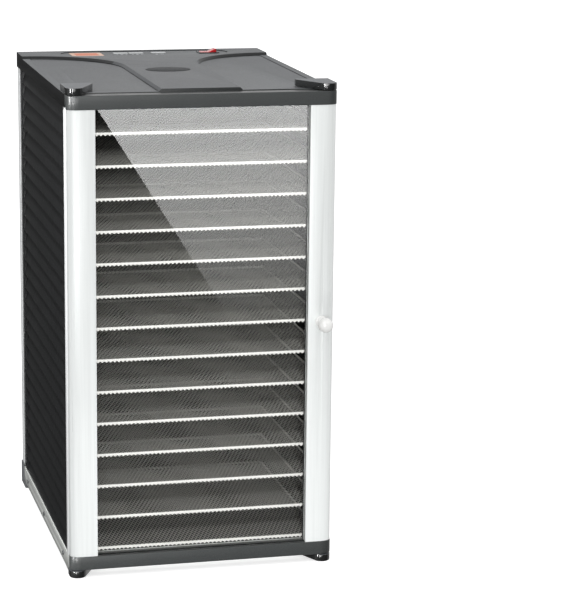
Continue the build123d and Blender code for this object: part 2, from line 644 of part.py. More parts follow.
def door_glass():
    half = STILE_INNER + GROOVE_DEPTH - GASKET_WALL
    low = DOOR_BOTTOM + RAIL_HEIGHT - RAIL_GROOVE_DEPTH + GASKET_WALL
    high = DOOR_TOP - RAIL_HEIGHT + RAIL_GROOVE_DEPTH - GASKET_WALL
    return glass_block(half, low, high, GLASS_SET_BACK, GLASS_SET_BACK + GLASS_THICKNESS)


def glass_gasket():
    """Rubber channel that holds the edge of the glass in the grooves."""
    half = STILE_INNER + GROOVE_DEPTH - 0.1
    low = DOOR_BOTTOM + RAIL_HEIGHT - RAIL_GROOVE_DEPTH + 0.1
    high = DOOR_TOP - RAIL_HEIGHT + RAIL_GROOVE_DEPTH - 0.1
    near = GLASS_SET_BACK - GASKET_WALL + 0.1
    far = GLASS_SET_BACK + GLASS_THICKNESS + GASKET_WALL - 0.1
    ring = glass_block(half, low, high, near, far)
    lip = RAIL_GROOVE_DEPTH - 0.8
    ring -= glass_block(half - lip - 2, low + lip, high - lip, near - 1, far + 1)
    return ring - door_glass()


def door_knob():
    """Round pull: a flange, a neck and a domed head, turned about its own axis."""
    with BuildPart() as turned:
        with BuildSketch(Plane.XY):
            with BuildLine():
                Polyline((0, 0.8), (9, 0.8), (9, -2), (8, -3.2), (5.2, -4), (5.2, -15))
                Line((5.2, -15), (8.5, -16.5))
                ThreePointArc((8.5, -16.5), (11.2, -24), (7.5, -32))
                ThreePointArc((7.5, -32), (5.6, -34), (3, -KNOB_REACH))
                Polyline((3, -KNOB_REACH), (0, -KNOB_REACH), (0, 0.8))
            make_face()
        revolve(axis=Axis.Y)
    knob = Pos(KNOB_X, FRONT, KNOB_HEIGHT) * turned.part
    return knob - level(SCREW_RADIUS + FIT, KNOB_X, KNOB_HEIGHT, -13, 1)


def knob_screw():
    seat = STILE_INSET + STILE_WALL
    shank = level(SCREW_RADIUS, KNOB_X, KNOB_HEIGHT, -12, seat)
    return shank + level(HEAD_RADIUS, KNOB_X, KNOB_HEIGHT, seat, seat + HEAD_HEIGHT)


def catch_plate():
    return block(CATCH_X - 12, CATCH_X + 12, 20.8, 22.0, 704.0, 716.0)


def catch_magnet():
    face = CABINET_FRONT + 0.2
    return block(CATCH_X - 11, CATCH_X + 11, face, face + 7, 705.0, 715.0)


# ---------------------------------------------------------------- fasteners
def bracket_screws():
    """Eight screws: from inside the lid upwards, and from below upwards."""
    screws = []
    for side in (-1, 1):
        for x, depth in UPPER_BRACKET_SCREWS:
            head = upright(HEAD_RADIUS, side * x, depth, LID_UNDERSIDE - HEAD_HEIGHT, LID_UNDERSIDE)
            shank = upright(SCREW_RADIUS, side * x, depth, LID_UNDERSIDE, LID_RIM + 6.2)
            screws.append((head + shank).solid())
        for x, depth in LOWER_BRACKET_SCREWS:
            head = upright(HEAD_RADIUS, side * x, depth, 3.2 - HEAD_HEIGHT, 3.2)
            shank = upright(SCREW_RADIUS, side * x, depth, 3.2, 17.0)
            screws.append((head + shank).solid())
    return Compound(screws)


def cabinet_screws():
    """Screws through the rear posts, and through the base rails into the base pan."""
    screws = []
    outer = REAR_FLANGE + SHEET
    for side in (-1, 1):
        for z in REAR_SCREW_HEIGHTS:
            head = level(HEAD_RADIUS, side * REAR_SCREW_X, z, outer, outer + HEAD_HEIGHT)
            shank = level(SCREW_RADIUS, side * REAR_SCREW_X, z, outer - 10, outer)
            screws.append((head + shank).solid())
        for depth in BASE_SCREW_DEPTHS:
            start = side * (SIDE_HALF_WIDTH + 1.6)
            seat = side * SIDE_HALF_WIDTH
            tip = side * (SIDE_HALF_WIDTH - 10)
            head = across(HEAD_RADIUS, depth, BASE_SCREW_HEIGHT, *sorted((seat, start)))
            shank = across(SCREW_RADIUS, depth, BASE_SCREW_HEIGHT, *sorted((seat, tip)))
            screws.append((head + shank).solid())
    return Compound(screws)


# ---------------------------------------------------------------- assembly
def pair(name, shape):
    return {name + "_left": other_side(shape), name + "_right": shape}


def assembly():
    nodes = {}
    nodes["top_cover"] = top_cover()
    nodes["inner_ceiling"] = inner_ceiling()
    nodes["display_window"] = display_window()
    nodes["display_module"] = display_module()
    nodes["control_board"] = control_board()
    nodes["rocker_housing"] = rocker_housing()
    nodes["rocker"] = rocker()
    nodes["badge_plate"] = badge_plate()
    for name, x in KEY_XS.items():
        nodes[name] = key(x)
    nodes["hinge_bracket_upper_left"] = other_side(upper_bracket(BRACKET_WIDTH))
    nodes["hinge_bracket_upper_right"] = upper_bracket(WIDE_BRACKET_WIDTH)
    nodes.update(pair("hinge_bracket_lower", lower_bracket()))
    nodes["hinge_pins"] = hinge_pins()
    nodes["bracket_screws"] = bracket_screws()
    nodes["cabinet_screws"] = cabinet_screws()
    nodes.update(pair("front_post", front_post()))
    nodes.update(pair("rear_post", rear_post()))
    nodes.update(pair("side_panel", side_panel()))
    nodes.update(pair("base_rail", base_rail()))
    nodes["base_pan"] = base_pan()
    nodes["floor_plate"] = floor_plate()
    nodes["rear_panel"] = rear_panel()
    nodes["baffle_panel"] = baffle_panel()
    nodes["rear_feet"] = Compound([other_side(rear_foot()).solid(), rear_foot().solid()])
    nodes["fan_motor"] = fan_motor()
    nodes["fan_rotor"] = fan_rotor()
    nodes["heater_element"] = heater_element()
    nodes["thermal_cutout"] = thermal_cutout()
    nodes["power_inlet"] = power_inlet()
    nodes["door_rail_top"] = door_rail_top()
    nodes["door_rail_bottom"] = door_rail_bottom()
    nodes["door_stile_left"] = other_side(door_stile())
    nodes["door_stile_right"] = door_stile_right()
    nodes["door_glass"] = door_glass()
    nodes["glass_gasket"] = glass_gasket()
    nodes["door_knob"] = door_knob()
    nodes["knob_screw"] = knob_screw()
    nodes["catch_plate"] = catch_plate()
    nodes["catch_magnet"] = catch_magnet()
    lowest = tray()
    for index in range(TRAY_COUNT):
        nodes["tray_%02d" % (TRAY_COUNT - index)] = Pos(0, 0, 2 * index * RIB_PITCH) * lowest
    return nodes


def main():
    os.makedirs("parts", exist_ok=True)
    for name, shape in assembly().items():
        export_step(shape, os.path.join("parts", name + ".step"))
        print(name)


main()
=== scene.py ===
import json
import math

import bmesh
import bpy
from mathutils import Matrix, Vector


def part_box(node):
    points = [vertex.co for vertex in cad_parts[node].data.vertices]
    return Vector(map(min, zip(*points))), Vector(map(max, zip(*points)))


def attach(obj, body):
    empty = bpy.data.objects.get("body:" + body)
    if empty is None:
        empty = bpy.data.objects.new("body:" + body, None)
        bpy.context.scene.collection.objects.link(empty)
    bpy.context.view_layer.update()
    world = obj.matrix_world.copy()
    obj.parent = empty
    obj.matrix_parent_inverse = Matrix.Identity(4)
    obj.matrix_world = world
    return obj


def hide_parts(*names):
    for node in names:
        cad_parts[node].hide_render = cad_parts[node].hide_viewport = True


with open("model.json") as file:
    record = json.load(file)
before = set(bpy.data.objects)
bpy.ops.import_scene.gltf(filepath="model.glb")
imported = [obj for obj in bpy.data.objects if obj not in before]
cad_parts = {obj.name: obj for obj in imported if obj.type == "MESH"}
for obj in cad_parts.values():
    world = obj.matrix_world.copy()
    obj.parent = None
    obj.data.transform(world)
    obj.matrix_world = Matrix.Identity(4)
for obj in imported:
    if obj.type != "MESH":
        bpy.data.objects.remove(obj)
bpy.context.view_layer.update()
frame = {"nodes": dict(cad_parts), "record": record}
MM = 0.001

# ---------------------------------------------------------------- places read from the frame
NODE_BODY = {}
for body_name, members in frame["record"]["behaviour"]["bodies"].items():
    for member in members:
        NODE_BODY[member] = body_name
NODE_SLOT = {part["node"]: part["material_slot"] for part in frame["record"]["subparts"]}
TRAYS = sorted(name for name in NODE_BODY if name.startswith("tray_"))


# ---------------------------------------------------------------- colours and node helpers
def linear(hex_colour):
    """A display colour such as "45484a" as linear red, green, blue and alpha."""
    values = []
    for start in (0, 2, 4):
        value = int(hex_colour[start:start + 2], 16) / 255
        values.append(value / 12.92 if value <= 0.04045 else ((value + 0.055) / 1.055) ** 2.4)
    return values + [1.0]


class Tree:
    """A small wrapper that adds and links the nodes of a material or a world."""

    def __init__(self, owner, output_kind="ShaderNodeOutputMaterial"):
        self.owner = owner
        owner.use_nodes = True
        self.nodes = owner.node_tree.nodes
        self.links = owner.node_tree.links
        self.nodes.clear()
        self.output = self.nodes.new(output_kind)
        self.coords = self.nodes.new("ShaderNodeTexCoord")

    def add(self, kind, **inputs):
        node = self.nodes.new(kind)
        for key, value in inputs.items():
            self.set(node, key.replace("_", " "), value)
        return node

    def set(self, node, socket, value):
        target = node.inputs[socket]
        if isinstance(value, bpy.types.NodeSocket):
            self.links.new(value, target)
        else:
            target.default_value = value

    def calculate(self, operation, first, second=None):
        node = self.nodes.new("ShaderNodeMath")
        node.operation = operation
        self.set(node, 0, first)
        if second is not None:
            self.set(node, 1, second)
        return node.outputs[0]

    def point(self, scale):
        mapping = self.nodes.new("ShaderNodeMapping")
        mapping.inputs["Scale"].default_value = scale
        self.links.new(self.coords.outputs["Object"], mapping.inputs["Vector"])
        return mapping.outputs["Vector"]

    def noise(self, scale, detail=3.0, stretch=(1, 1, 1), roughness=0.55):
        node = self.add("ShaderNodeTexNoise", Vector=self.point(stretch))
        node.inputs["Scale"].default_value = scale
        node.inputs["Detail"].default_value = detail
        node.inputs["Roughness"].default_value = roughness
        return node.outputs["Fac"]

    def ranged(self, value, low, high, source_low=0.3, source_high=0.7):
        node = self.nodes.new("ShaderNodeMapRange")
        node.inputs["From Min"].default_value = source_low
        node.inputs["From Max"].default_value = source_high
        node.inputs["To Min"].default_value = low
        node.inputs["To Max"].default_value = high
        self.links.new(value, node.inputs["Value"])
        return node.outputs["Result"]

    def blend(self, factor, first, second):
        node = self.nodes.new("ShaderNodeMix")
        node.data_type = "RGBA"
        for index, value in ((0, factor), (6, first), (7, second)):
            self.set(node, index, value)
        return node.outputs[2]

    def bump(self, height, strength, distance):
        node = self.nodes.new("ShaderNodeBump")
        node.inputs["Strength"].default_value = strength
        node.inputs["Distance"].default_value = distance
        self.links.new(height, node.inputs["Height"])
        return node.outputs["Normal"]

    def finish(self, shader):
        self.links.new(shader, self.output.inputs["Surface"])
        return self.owner


def material_tree(name):
    return Tree(bpy.data.materials.new(name))


def shade(colour, factor):
    return [min(1.0, c * factor) for c in colour[:3]] + [1.0]


def moulded(name, hex_colour, roughness, grain=0.35, grain_size=0.9, wear=1.5, mottle=0.12, specular=0.5,
            coat=0.0):
    """Moulded plastic: fine grain, slight mottling, and edges rubbed a little lighter."""
    tree = material_tree(name)
    base = linear(hex_colour)
    fine = tree.noise(1000 / grain_size, 2.0)
    broad = tree.noise(18, 3.0)
    colour = tree.blend(tree.ranged(broad, 0, 1), shade(base, 1 - mottle), shade(base, 1 + mottle))
    edge = tree.ranged(tree.add("ShaderNodeNewGeometry").outputs["Pointiness"], 0, 0.6, 0.52, 0.62)
    colour = tree.blend(edge, colour, shade(base, wear))
    principled = tree.add("ShaderNodeBsdfPrincipled", Base_Color=colour)
    tree.set(principled, "Roughness", tree.ranged(fine, roughness - 0.07, roughness + 0.09))
    tree.set(principled, "Normal", tree.bump(fine, grain, 0.00012))
    principled.inputs["Specular IOR Level"].default_value = specular
    principled.inputs["Coat Weight"].default_value = coat
    principled.inputs["Coat Roughness"].default_value = 0.08
    return tree.finish(principled.outputs[0])


def metal(name, hex_colour, roughness, stretch, streak=0.08, metallic=1.0, scale=260, bump=0.06):
    """Metal with fine brushing along the axis that stretch squeezes."""
    tree = material_tree(name)
    base = linear(hex_colour)
    lines = tree.noise(scale, 4.0, stretch, 0.65)
    smudge = tree.noise(9, 3.0)
    colour = tree.blend(tree.ranged(lines, 0, 1), shade(base, 1 - streak), shade(base, 1 + streak))
    principled = tree.add("ShaderNodeBsdfPrincipled", Base_Color=colour)
    principled.inputs["Metallic"].default_value = metallic
    rough = tree.calculate(
        "ADD", tree.ranged(lines, roughness - 0.06, roughness + 0.06), tree.ranged(smudge, -0.04, 0.05))
    tree.set(principled, "Roughness", rough)
    tree.set(principled, "Normal", tree.bump(lines, bump, 0.0002))
    return tree.finish(principled.outputs[0])


ALONG_X = (0.02, 1, 1)
ALONG_Y = (1, 0.02, 1)
ALONG_Z = (1, 1, 0.02)
EVERY_WAY = (1, 1, 1)
HEAD_ON_MIRROR = 0.036
SCHLICK_POWER = 5


def glass_pane():
    """Thin clear sheet: see-through, with a sharp mirror that grows at grazing angles."""
    tree = material_tree("clear_glass")
    through = tree.add("ShaderNodeBsdfTransparent", Color=(0.985, 0.99, 0.985, 1))
    gloss = tree.add("ShaderNodeBsdfAnisotropic", Color=(1, 1, 1, 1))
    haze = tree.noise(6, 4.0)
    tree.set(gloss, "Roughness", tree.ranged(haze, 0.004, 0.016))
    facing = tree.add("ShaderNodeLayerWeight", Blend=0.5)
    steep = tree.calculate("POWER", facing.outputs["Facing"], SCHLICK_POWER)
    mix = tree.nodes.new("ShaderNodeMixShader")
    tree.links.new(tree.ranged(steep, HEAD_ON_MIRROR, 1, 0, 1), mix.inputs[0])
    tree.links.new(through.outputs[0], mix.inputs[1])
    tree.links.new(gloss.outputs[0], mix.inputs[2])
    return tree.finish(mix.outputs[0])


def display_screen():
    """Backlit window, warm in the middle with a paler border."""
    tree = material_tree("display_screen")
    low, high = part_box("display_window")
    border_width, border_blur = 7.5 * MM, 1.0 * MM
    position = tree.add("ShaderNodeSeparateXYZ", Vector=tree.coords.outputs["Object"])
    edges = []
    for axis in (0, 1):
        half = (high[axis] - low[axis]) / 2
        offset = tree.calculate("SUBTRACT", position.outputs[axis], (low[axis] + high[axis]) / 2)
        distance = tree.calculate("ABSOLUTE", offset)
        inner_edge = half - border_width
        edges.append(tree.ranged(distance, 0, 1, inner_edge, inner_edge + border_blur))
    border = tree.calculate("MAXIMUM", edges[0], edges[1])
    speckle = tree.noise(900, 2.0)
    inner = tree.blend(tree.ranged(speckle, 0, 1), linear("b9562f"), linear("c9683f"))
    colour = tree.blend(border, inner, linear("c3a08a"))
    principled = tree.add("ShaderNodeBsdfPrincipled", Base_Color=colour)
    tree.set(principled, "Emission Color", colour)
    principled.inputs["Emission Strength"].default_value = 0.12
    principled.inputs["Roughness"].default_value = 0.35
    principled.inputs["Specular IOR Level"].default_value = 0.2
    return tree.finish(principled.outputs[0])


def lens_plastic(name, hex_colour):
    """Tinted gloss plastic with a soft glow inside."""
    tree = material_tree(name)
    base = linear(hex_colour)
    cloud = tree.noise(120, 2.0)
    colour = tree.blend(tree.ranged(cloud, 0, 1), shade(base, 0.88), shade(base, 1.1))
    principled = tree.add("ShaderNodeBsdfPrincipled", Base_Color=colour)
    principled.inputs["Subsurface Weight"].default_value = 0.25
    principled.inputs["Subsurface Radius"].default_value = (0.004, 0.001, 0.001)
    tree.set(principled, "Roughness", tree.ranged(cloud, 0.1, 0.2))
    principled.inputs["Coat Weight"].default_value = 0.5
    tree.set(principled, "Normal", tree.bump(tree.noise(700, 2.0), 0.08, 0.0001))
    return tree.finish(principled.outputs[0])


MATERIALS = {
    "graphite_plastic": moulded("graphite_plastic", "343636", 0.3, grain=0.12, grain_size=0.5, mottle=0.03,
                                wear=1.25),
    "lid_top": moulded("lid_top", "45484b", 0.5, grain=0.9, grain_size=1.3, mottle=0.08),
    # Painted shade: a darker copy of the lid plastic for the lid faces turned away from the light.
    "lid_painted_shade": moulded("lid_painted_shade", "1f2021", 0.4, grain=0.3, grain_size=1.3, wear=1.1, specular=0.3),
    "bracket_top": moulded("bracket_top", "4b4e52", 0.45, grain=0.6, grain_size=1.3, mottle=0.06),
    "badge_dark": moulded("badge_dark", "2a2c2e", 0.5, grain=0.15, grain_size=2.0, wear=3.0, specular=0.08),
    "bracket_plastic": moulded("bracket_plastic", "181919", 0.18, grain=0.08, grain_size=2.0, coat=0.4,
                               wear=1.2),
    "grey_panel": moulded("grey_panel", "1b1c1d", 0.33, grain=0.4, grain_size=1.2, mottle=0.1, specular=0.46,
                          wear=1.3),
    # Painted shade: a near-black, dull copy of the panel plastic for the rib undersides; its wear factor
    # under one darkens their edges as well.
    "panel_painted_shade": moulded("panel_painted_shade", "0a0a0a", 0.5, grain=0.4, grain_size=1.2, mottle=0.1,
                           specular=0.04, wear=0.4),
    "liner": moulded("liner", "111112", 0.45, grain=0.4, grain_size=1.2, specular=0.2),
    "silver_trim": metal("silver_trim", "f6f8f8", 0.34, ALONG_Z, 0.03, metallic=0.05),
    "silver_rail": metal("silver_rail", "b6b8b5", 0.36, ALONG_Y, 0.05, metallic=0.1),
    "white_stile": metal("white_stile", "edf0ef", 0.34, ALONG_Z, 0.045, metallic=0.15, scale=200, bump=0.05),
    "knob_plastic": moulded("knob_plastic", "f4f4f2", 0.14, grain=0.08, grain_size=3.0, wear=1.0,
                            mottle=0.02, coat=0.5),
    "gasket_rubber": moulded("gasket_rubber", "171717", 0.6, grain=0.5, grain_size=1.0),
    "tray_wire": metal("tray_wire", "c2c0bc", 0.32, EVERY_WAY, 0.1, metallic=0.1, scale=500, bump=0.12),
    "tray_rim": metal("tray_rim", "fbf9f6", 0.36, ALONG_X, 0.02, metallic=0.0, scale=300, bump=0.05),
    "liner_steel": metal("liner_steel", "f6f8f6", 0.42, ALONG_X, 0.04, metallic=0.0, scale=160),
    "display_frame": moulded("display_frame", "d8d4cc", 0.5),
    "circuit_board": moulded("circuit_board", "2f5d3a", 0.4, grain=0.3, grain_size=2.0),
    "black_plastic": moulded("black_plastic", "1b1b1c", 0.35, grain=0.4, grain_size=1.0),
    "red_plastic": lens_plastic("red_plastic", "d01c22"),
    "key_plastic": moulded("key_plastic", "aeb1b2", 0.3, grain=0.15, grain_size=1.5, mottle=0.05, wear=1.15),
    "zinc_steel": metal("zinc_steel", "b9bbbd", 0.28, EVERY_WAY, 0.1, scale=900),
    "foot_plastic": moulded("foot_plastic", "5f6163", 0.5, grain=0.5, grain_size=1.2),
    "motor_steel": metal("motor_steel", "5b5e60", 0.45, ALONG_Y, 0.1, metallic=0.7),
    "aluminium": metal("aluminium", "bcbec0", 0.36, EVERY_WAY, 0.08),
    "heater_steel": metal("heater_steel", "6a6058", 0.42, EVERY_WAY, 0.2),
    "brass": metal("brass", "b59a5b", 0.35, EVERY_WAY, 0.1),
    "inlet_plastic": moulded("inlet_plastic", "161616", 0.4, grain=0.4, grain_size=1.0),
    "magnet": moulded("magnet", "2a2826", 0.6, grain=0.6, grain_size=0.8),
    "catch_steel": metal("catch_steel", "9a9c9e", 0.3, ALONG_X, 0.08),
    "door_glass": glass_pane(),
    "display": display_screen(),
    "print_white": moulded("print_white", "c9cbcc", 0.5, grain=0.1),
}


# ---------------------------------------------------------------- mesh helpers
def add_object(name, mesh):
    piece = bpy.data.objects.new(name, mesh)
    bpy.context.collection.objects.link(piece)
    return piece


def settle(piece, node, replaces=()):
    """Puts a piece on the body of a CAD node, and hides the CAD nodes it stands for."""
    if replaces:
        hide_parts(*replaces)
    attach(piece, NODE_BODY[node])
    return piece


def smooth_by_angle(mesh, degrees):
    for polygon in mesh.polygons:
        polygon.use_smooth = True
    mesh.set_sharp_from_angle(angle=math.radians(degrees))


def applied(piece):
    """Bakes a piece's modifiers into its mesh."""
    bpy.context.view_layer.update()
    graph = bpy.context.evaluated_depsgraph_get()
    mesh = bpy.data.meshes.new_from_object(piece.evaluated_get(graph))
    piece.modifiers.clear()
    piece.data = mesh
    return mesh


def mesh_from(work, name, *materials):
    """Turns finished shapes into a mesh whose faces look outward."""
    bmesh.ops.recalc_face_normals(work, faces=work.faces)
    mesh = bpy.data.meshes.new(name)
    work.to_mesh(mesh)
    work.free()
    for material in materials:
        mesh.materials.append(MATERIALS[material])
    return mesh


def bridge(work, first, second, material):
    """Joins two rings of corners with faces."""
    for index in range(len(first)):
        other = (index + 1) % len(first)
        face = work.faces.new((first[index], first[other], second[other], second[index]))
        face.material_index = material


def prism(work, near, far, material=0):
    """A closed bar between two matching outlines."""
    first = [work.verts.new(point) for point in near]
    second = [work.verts.new(point) for point in far]
    bridge(work, first, second, material)
    for cap in (tuple(reversed(first)), tuple(second)):
        work.faces.new(cap).material_index = material


WELD_DISTANCE = 0.002 * MM
FLAT_ANGLE = 0.4
CREASE_ANGLE = 32


def refined(node, width, segments=2, material=None):
    """A copy of a CAD node with its creases rolled over, which stands for that node."""
    mesh = frame["nodes"][node].data.copy()
    work = bmesh.new()
    work.from_mesh(mesh)
    bmesh.ops.remove_doubles(work, verts=work.verts, dist=WELD_DISTANCE)
    bmesh.ops.dissolve_limit(
        work, angle_limit=math.radians(FLAT_ANGLE), verts=work.verts, edges=work.edges)
    work.to_mesh(mesh)
    work.free()
    piece = add_object(node + "_shell", mesh)
    bevel = piece.modifiers.new("bevel", "BEVEL")
    bevel.width = width
    bevel.segments = segments
    bevel.limit_method = "ANGLE"
    bevel.angle_limit = math.radians(CREASE_ANGLE)
    bevel.use_clamp_overlap = True
    mesh = applied(piece)
    smooth_by_angle(mesh, 40)
    mesh.materials.clear()
    mesh.materials.append(MATERIALS[material or NODE_SLOT[node]])
    return settle(piece, node, replaces=(node,))


def paint(node, material):
    """Gives a CAD node that keeps its shape one material."""
    piece = frame["nodes"][node]
    for index in range(max(1, len(piece.material_slots))):
        if not piece.material_slots:
            piece.data.materials.append(MATERIALS[material])
        piece.material_slots[index].material = MATERIALS[material]


def repaint(piece, material, chosen):
    """Gives the faces that chosen() picks a material of their own."""
    materials = piece.data.materials
    materials.append(MATERIALS[material])
    for polygon in piece.data.polygons:
        if chosen(polygon):
            polygon.material_index = len(materials) - 1


# ---------------------------------------------------------------- CAD nodes that keep their shape
KEPT = {
    "inner_ceiling": "liner", "display_window": "display", "display_module": "display_frame",
    "control_board": "circuit_board", "hinge_pins": "zinc_steel",
    "base_pan": "liner_steel", "baffle_panel": "liner",
    "rear_panel": "grey_panel", "fan_motor": "motor_steel", "fan_rotor": "aluminium",
    "heater_element": "heater_steel", "thermal_cutout": "brass", "power_inlet": "inlet_plastic",
    "catch_magnet": "magnet", "catch_plate": "catch_steel", "door_glass": "door_glass",
    "glass_gasket": "gasket_rubber", "knob_screw": "zinc_steel",
}
for kept_node, kept_material in KEPT.items():
    paint(kept_node, kept_material)

# ---------------------------------------------------------------- CAD nodes with rolled edges
GLASS_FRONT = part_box("door_glass")[0].y
LIP_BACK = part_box("floor_plate")[0].y + 4 * MM
CONSOLE_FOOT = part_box("hinge_bracket_upper_left")[0].z + 0.3 * MM


def refined_side(side, inward):
    """Door and cabinet parts of one side; inward is the sign of x towards the middle."""
    def behind_glass(face):
        return face.normal.x * inward > 0.9 and face.center.y > GLASS_FRONT

    repaint(refined("door_stile_" + side, 0.5 * MM), "gasket_rubber", behind_glass)
    refined("front_post_" + side, 0.4 * MM, material="silver_trim")
    refined("rear_post_" + side, 0.4 * MM, material="silver_trim")
    refined("base_rail_" + side, 0.4 * MM, material="silver_rail")
    panel = refined("side_panel_" + side, 0.9 * MM, 3, material="grey_panel")
    # Painted shade on the downward-facing rib faces of the side panel.
    repaint(panel, "panel_painted_shade", lambda face: face.normal.z < -0.2)
    for level in ("upper", "lower"):
        bracket = refined("hinge_bracket_%s_%s" % (level, side), 0.5 * MM)
        repaint(bracket, "bracket_top", lambda face: face.normal.z > 0.8)


def lid_painted_shade_faces(face):
    """Faces that get painted shade: slopes of the console that face the front, and upright faces on the
    left.
    """
    front_slope = face.normal.y < -0.25 and face.normal.z < 0.9 and face.center.z > CONSOLE_FOOT
    return front_slope or (face.normal.x < -0.7 and abs(face.normal.z) < 0.3)


refined_side("left", 1)
refined_side("right", -1)
for rail in ("door_rail_top", "door_rail_bottom"):
    refined(rail, 0.5 * MM)
refined("rear_feet", 0.8 * MM)
floor_tray = refined("floor_plate", 0.3 * MM, material="liner")
repaint(floor_tray, "liner_steel", lambda face: face.center.y < LIP_BACK)
refined("rocker_housing", 0.3 * MM)
refined("rocker", 0.3 * MM)
refined("badge_plate", 0.2 * MM, material="badge_dark")
for key_node in ("key_down", "key_up", "key_start"):
    refined(key_node, 0.25 * MM)
lid = refined("top_cover", 0.8 * MM, 3)
repaint(lid, "lid_top", lambda face: face.normal.z > 0.5)
# Painted shade on the front-facing console slopes and the left side of the lid.
repaint(lid, "lid_painted_shade", lid_painted_shade_faces)


# ---------------------------------------------------------------- trays
def strand_ring(work, x, y, low, width, thick, tilt):
    """Four corners of one cross section of a mesh strand."""
    corners = [
        (x - width / 2, y, low - tilt), (x + width / 2, y, low + tilt),
        (x + width / 2, y, low + thick + tilt), (x - width / 2, y, low + thick - tilt)]
    return [work.verts.new(corner) for corner in corners]


def add_strands(work, low, high):
    """Zigzag strands that almost touch their neighbours, as in expanded metal."""
    width, thick = 0.9 * MM, 0.7 * MM
    pitch, half_period = 3.1 * MM, 8.0 * MM
    margin, twist = 2 * MM, 0.2 * MM
    grid_low = low.z + 0.35 * MM
    columns = int((high.x - low.x - margin) / pitch)
    rows = int((high.y - low.y - margin) / half_period)
    start_x = (low.x + high.x - columns * pitch) / 2
    start_y = (low.y + high.y - rows * half_period) / 2
    swing = pitch / 2 - width * 0.3
    for column in range(columns + 1):
        centre = start_x + column * pitch
        ring = None
        for row in range(rows + 1):
            turn = 1 if (row + column) % 2 else -1
            x = min(max(centre + turn * swing, low.x + width), high.x - width)
            y = start_y + row * half_period
            fresh = strand_ring(work, x, y, grid_low, width, thick, twist * turn)
            if ring:
                bridge(work, ring, fresh, 0)
            else:
                work.faces.new(tuple(reversed(fresh)))
            ring = fresh
        work.faces.new(tuple(ring))


def add_rim(work, low, high):
    """Folded sheet rim with rolled upper edges."""
    top = high.z - low.z - 1.0 * MM
    rim = 3.0 * MM
    profile = [
        (0.0, 1.3 * MM), (0.0, top - 0.7 * MM), (0.25 * MM, top - 0.2 * MM), (0.8 * MM, top),
        (rim - 0.8 * MM, top), (rim - 0.2 * MM, top - 0.3 * MM), (rim, top - 0.9 * MM),
        (rim, top - 1.6 * MM), (1.2 * MM, top - 1.6 * MM), (1.2 * MM, 0.3 * MM)]
    loops = []
    for inset, rise in profile:
        corners = [
            (low.x + inset, low.y + inset), (high.x - inset, low.y + inset),
            (high.x - inset, high.y - inset), (low.x + inset, high.y - inset)]
        loops.append([work.verts.new((x, y, low.z + rise)) for x, y in corners])
    for step in range(len(loops)):
        bridge(work, loops[step], loops[(step + 1) % len(loops)], 1)


def add_teeth(work, low, high):
    """Pointed ends of the mesh, folded down along the front and rear edges."""
    pitch, reach, depth = 6.2 * MM, 0.9 * MM, 0.7 * MM
    half = 184 * MM
    count = int(2 * half / pitch)
    for front in (low.y + 0.05 * MM, high.y - 0.05 * MM - depth):
        for index in range(count + 1):
            x = (index - count / 2) * pitch
            outline = [
                (x - 0.46 * pitch, low.z + 1.6 * MM), (x - 0.5 * MM, low.z - reach),
                (x + 0.5 * MM, low.z - reach), (x + 0.46 * pitch, low.z + 1.6 * MM)]
            near = [(u, front, v) for u, v in outline]
            far = [(u, front + depth, v) for u, v in outline]
            prism(work, near, far, 1)


def tray_mesh():
    """One tray at the lowest tray's place; every tray shares it."""
    low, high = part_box(TRAYS[-1])
    work = bmesh.new()
    add_strands(work, low, high)
    add_rim(work, low, high)
    add_teeth(work, low, high)
    mesh = mesh_from(work, "tray_body", "tray_wire", "tray_rim")
    smooth_by_angle(mesh, 35)
    return mesh


shared_tray = tray_mesh()
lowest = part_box(TRAYS[-1])[0]
for tray_node in TRAYS:
    tray_piece = add_object(tray_node + "_wire", shared_tray)
    tray_piece.location.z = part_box(tray_node)[0].z - lowest.z
    settle(tray_piece, tray_node, replaces=(tray_node,))


# ---------------------------------------------------------------- knob
def lathe(name, profile, steps, place, material):
    """Turns a profile of (radius, height) about an axis that points to the front."""
    work = bmesh.new()
    rings = []
    for radius, height in profile:
        ring = []
        for step in range(steps):
            angle = 2 * math.pi * step / steps
            ring.append(work.verts.new((radius * math.cos(angle), -height, radius * math.sin(angle))))
        rings.append(ring)
    for first, second in zip(rings, rings[1:]):
        for index in range(steps):
            other = (index + 1) % steps
            work.faces.new((first[index], first[other], second[other], second[index]))
    work.faces.new(list(reversed(rings[0])))
    work.faces.new(rings[-1])
    mesh = mesh_from(work, name, material)
    smooth_by_angle(mesh, 40)
    piece = add_object(name, mesh)
    piece.location = place
    return piece


def knob_outline(head_radius, reach):
    """Foot, neck and rounded head of the knob as points of (radius, height)."""
    foot_and_neck = [
        (9.0, 0.0), (9.0, 2.6), (8.7, 3.3), (8.0, 3.8), (6.2, 4.2), (5.5, 4.8), (5.2, 6.0), (5.2, 14.5),
        (5.6, 15.8), (6.8, 16.5)]
    outline = [(radius * MM, height * MM) for radius, height in foot_and_neck]
    neck_end = outline[-1][1]
    head_middle, head_half = 25.8 * MM, 10.0 * MM
    head_start, head_sweep, head_steps = -38, 124, 12
    flatness, tip_radius, clearance = 0.8, 0.6 * MM, 0.1 * MM
    tip = head_middle + head_half * math.sin(math.radians(head_start + head_sweep))
    stretch = (reach - neck_end - clearance) / (tip - neck_end)
    for step in range(head_steps + 1):
        turn = math.radians(head_start + step * head_sweep / head_steps)
        radius = tip_radius if step == head_steps else head_radius * math.cos(turn) ** flatness
        height = head_middle + head_half * math.sin(turn)
        outline.append((radius, neck_end + (height - neck_end) * stretch))
    return outline


